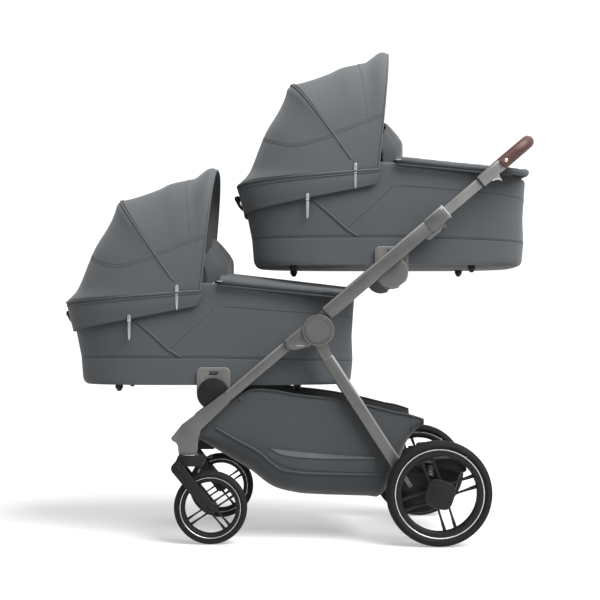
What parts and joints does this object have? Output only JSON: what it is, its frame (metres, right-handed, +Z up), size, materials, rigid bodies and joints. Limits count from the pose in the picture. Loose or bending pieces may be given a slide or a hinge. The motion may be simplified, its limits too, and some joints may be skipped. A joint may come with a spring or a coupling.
{
  "type": "twin pram",
  "caption": "Tandem pushchair chassis that folds at side hubs, with a raised and a lowered lift-off carrycot, folding canopies, swivel front wheels and a basket.",
  "frame": {"origin": "on the ground below the middle of the pram", "axes": "+Z up, the pram faces -X, its left side is -Y"},
  "size_m": [1.35, 0.602, 1.409],
  "materials": {
    "frame_grey": "satin warm grey paint",
    "tube_metal": "anodised grey",
    "bright_metal": "satin metal",
    "grey_plastic": "moulded",
    "black_plastic": "fine texture",
    "tyre_rubber": "matt, ribbed",
    "grip_leather": "stitched brown",
    "liner_cloth": "soft jersey",
    "basket_cloth": "coated weave",
    "slate_cloth": "melange weave"
  },
  "bodies": {
    "front_frame": {"front_legs": "frame_grey", "hub_housings": "frame_grey", "hub_caps": "frame_grey", "front_crossbar": "black_plastic", "lower_adapters": "black_plastic", "basket": "basket_cloth"},
    "rear_frame": {"rear_legs": "frame_grey", "rear_axle_beam": "black_plastic"},
    "pedal": {"brake_pedal": "black_plastic"},
    "handle_frame": {"handle_tubes": "frame_grey", "upper_adapters": "frame_grey"},
    "handle_upper": {"handle_bar": "tube_metal", "handle_sleeves": "frame_grey", "handle_grip": "grip_leather"},
    "swivel_left": {"caster_left": "black_plastic"},
    "swivel_catch_left": {"swivel_lock_left": "black_plastic"},
    "suspension_left": {"fork_left": "black_plastic"},
    "front_wheel_left": {"front_tyre_left": "tyre_rubber", "front_rim_left": "black_plastic"},
    "rear_wheel_left": {"rear_tyre_left": "tyre_rubber", "rear_rim_left": "black_plastic"},
    "lever_left": {"height_lever_left": "bright_metal"},
    "trigger_left": {"fold_trigger_left": "grey_plastic"},
    "swivel_right": {"caster_right": "black_plastic"},
    "swivel_catch_right": {"swivel_lock_right": "black_plastic"},
    "suspension_right": {"fork_right": "black_plastic"},
    "front_wheel_right": {"front_tyre_right": "tyre_rubber", "front_rim_right": "black_plastic"},
    "rear_wheel_right": {"rear_tyre_right": "tyre_rubber", "rear_rim_right": "black_plastic"},
    "lever_right": {"height_lever_right": "bright_metal"},
    "trigger_right": {"fold_trigger_right": "grey_plastic"},
    "upper_cot": {"upper_cot_shell": "slate_cloth", "upper_cot_rim": "black_plastic", "upper_cot_base": "black_plastic", "upper_mattress": "liner_cloth", "upper_apron": "slate_cloth", "upper_canopy_band": "slate_cloth", "upper_rear_panel": "slate_cloth", "upper_fittings": "frame_grey", "upper_zip_pulls": "bright_metal"},
    "upper_canopy_middle": {"upper_main_bow": "black_plastic", "upper_front_panel": "slate_cloth"},
    "upper_canopy_front": {"upper_visor": "slate_cloth"},
    "upper_release_buttons": {"upper_release": "grey_plastic"},
    "lower_cot": {"lower_cot_shell": "slate_cloth", "lower_cot_rim": "black_plastic", "lower_cot_base": "black_plastic", "lower_mattress": "liner_cloth", "lower_apron": "slate_cloth", "lower_canopy_band": "slate_cloth", "lower_rear_panel": "slate_cloth", "lower_fittings": "frame_grey", "lower_zip_pulls": "bright_metal"},
    "lower_canopy_middle": {"lower_main_bow": "black_plastic", "lower_front_panel": "slate_cloth"},
    "lower_canopy_front": {"lower_visor": "slate_cloth"},
    "lower_release_buttons": {"lower_release": "grey_plastic"}
  },
  "joints": [
    {"name": "fold", "type": "hinge", "parent": "front_frame", "child": "handle_frame", "pos_m": [0.058, 0, 0.594], "axis": [0, 1, 0], "range_deg": [0, 100], "deforming": ["basket"]},
    {"name": "rear_leg_fold", "type": "hinge", "parent": "front_frame", "child": "rear_frame", "pos_m": [0.058, 0, 0.594], "axis": [0, 1, 0], "range_deg": [0, 40], "deforming": ["basket"]},
    {"name": "brake_press", "type": "hinge", "parent": "rear_frame", "child": "pedal", "pos_m": [0.396, 0, 0.18], "axis": [0, 1, 0], "range_deg": [0, 16]},
    {"name": "handle_height", "type": "slide", "parent": "handle_frame", "child": "handle_upper", "axis": [0.7604, 0, 0.6494], "range_m": [-0.06, 0.02]},
    {"name": "caster_swivel_left", "type": "hinge", "parent": "front_frame", "child": "swivel_left", "pos_m": [-0.2987, -0.235, 0.25], "axis": [0, 0, 1], "continuous": true},
    {"name": "swivel_lock_slide_left", "type": "slide", "parent": "swivel_left", "child": "swivel_catch_left", "axis": [1, 0, 0], "range_m": [0, 0.005]},
    {"name": "suspension_swing_left", "type": "hinge", "parent": "swivel_left", "child": "suspension_left", "pos_m": [-0.33071, -0.235, 0.213], "axis": [0, -1, 0], "range_deg": [0, 5], "stiffness_Nm_per_rad": 60, "springref_deg": -17.19},
    {"name": "front_wheel_spin_left", "type": "hinge", "parent": "suspension_left", "child": "front_wheel_left", "pos_m": [-0.24071, -0.235, 0.102], "axis": [0, 1, 0], "continuous": true},
    {"name": "rear_wheel_spin_left", "type": "hinge", "parent": "rear_frame", "child": "rear_wheel_left", "pos_m": [0.39, -0.273, 0.146], "axis": [0, 1, 0], "continuous": true},
    {"name": "height_lever_pull_left", "type": "slide", "parent": "handle_upper", "child": "lever_left", "axis": [0.7604, 0, 0.6494], "range_m": [0, 0.006], "stiffness_N_per_m": 900, "springref_m": -0.004},
    {"name": "fold_trigger_pull_left", "type": "slide", "parent": "handle_frame", "child": "trigger_left", "axis": [0.7604, 0, 0.6494], "range_m": [0, 0.006], "stiffness_N_per_m": 900, "springref_m": -0.004},
    {"name": "caster_swivel_right", "type": "hinge", "parent": "front_frame", "child": "swivel_right", "pos_m": [-0.2987, 0.235, 0.25], "axis": [0, 0, 1], "continuous": true},
    {"name": "swivel_lock_slide_right", "type": "slide", "parent": "swivel_right", "child": "swivel_catch_right", "axis": [1, 0, 0], "range_m": [0, 0.005]},
    {"name": "suspension_swing_right", "type": "hinge", "parent": "swivel_right", "child": "suspension_right", "pos_m": [-0.33071, 0.235, 0.213], "axis": [0, -1, 0], "range_deg": [0, 5], "stiffness_Nm_per_rad": 60, "springref_deg": -17.19},
    {"name": "front_wheel_spin_right", "type": "hinge", "parent": "suspension_right", "child": "front_wheel_right", "pos_m": [-0.24071, 0.235, 0.102], "axis": [0, 1, 0], "continuous": true},
    {"name": "rear_wheel_spin_right", "type": "hinge", "parent": "rear_frame", "child": "rear_wheel_right", "pos_m": [0.39, 0.273, 0.146], "axis": [0, 1, 0], "continuous": true},
    {"name": "height_lever_pull_right", "type": "slide", "parent": "handle_upper", "child": "lever_right", "axis": [0.7604, 0, 0.6494], "range_m": [0, 0.006], "stiffness_N_per_m": 900, "springref_m": -0.004},
    {"name": "fold_trigger_pull_right", "type": "slide", "parent": "handle_frame", "child": "trigger_right", "axis": [0.7604, 0, 0.6494], "range_m": [0, 0.006], "stiffness_N_per_m": 900, "springref_m": -0.004},
    {"name": "upper_cot_lift", "type": "slide", "parent": "front_frame", "child": "upper_cot", "axis": [-0.6494, 0, 0.7604], "range_m": [0, 0.5]},
    {"name": "upper_canopy_fold", "type": "hinge", "parent": "upper_cot", "child": "upper_canopy_middle", "pos_m": [0.174, 0, 1.043], "axis": [0, -1, 0], "range_deg": [0, 38], "deforming": ["upper_rear_panel", "upper_front_panel"]},
    {"name": "upper_visor_fold", "type": "hinge", "parent": "upper_canopy_middle", "child": "upper_canopy_front", "pos_m": [0.174, 0, 1.043], "axis": [0, -1, 0], "range_deg": [0, 28], "deforming": ["upper_rear_panel", "upper_front_panel"]},
    {"name": "upper_release_push", "type": "slide", "parent": "upper_cot", "child": "upper_release_buttons", "axis": [0, 0, 1], "range_m": [0, 0.005], "stiffness_N_per_m": 600, "springref_m": -0.003},
    {"name": "lower_cot_lift", "type": "slide", "parent": "front_frame", "child": "lower_cot", "axis": [-0.6494, 0, 0.7604], "range_m": [0, 0.5]},
    {"name": "lower_canopy_fold", "type": "hinge", "parent": "lower_cot", "child": "lower_canopy_middle", "pos_m": [-0.326, 0, 0.703], "axis": [0, -1, 0], "range_deg": [0, 38], "deforming": ["lower_rear_panel", "lower_front_panel"]},
    {"name": "lower_visor_fold", "type": "hinge", "parent": "lower_canopy_middle", "child": "lower_canopy_front", "pos_m": [-0.326, 0, 0.703], "axis": [0, -1, 0], "range_deg": [0, 28], "deforming": ["lower_rear_panel", "lower_front_panel"]},
    {"name": "lower_release_push", "type": "slide", "parent": "lower_cot", "child": "lower_release_buttons", "axis": [0, 0, 1], "range_m": [0, 0.005], "stiffness_N_per_m": 600, "springref_m": -0.003}
  ],
  "couplings": [
    {"joint": "rear_leg_fold", "follows": "fold", "ratio": 0.4},
    {"joint": "upper_cot_lift", "follows": "fold", "m_per_rad": 0.28648},
    {"joint": "upper_visor_fold", "follows": "upper_canopy_fold", "ratio": 0.73684},
    {"joint": "lower_cot_lift", "follows": "fold", "m_per_rad": 0.28648},
    {"joint": "lower_visor_fold", "follows": "lower_canopy_fold", "ratio": 0.73684}
  ]
}
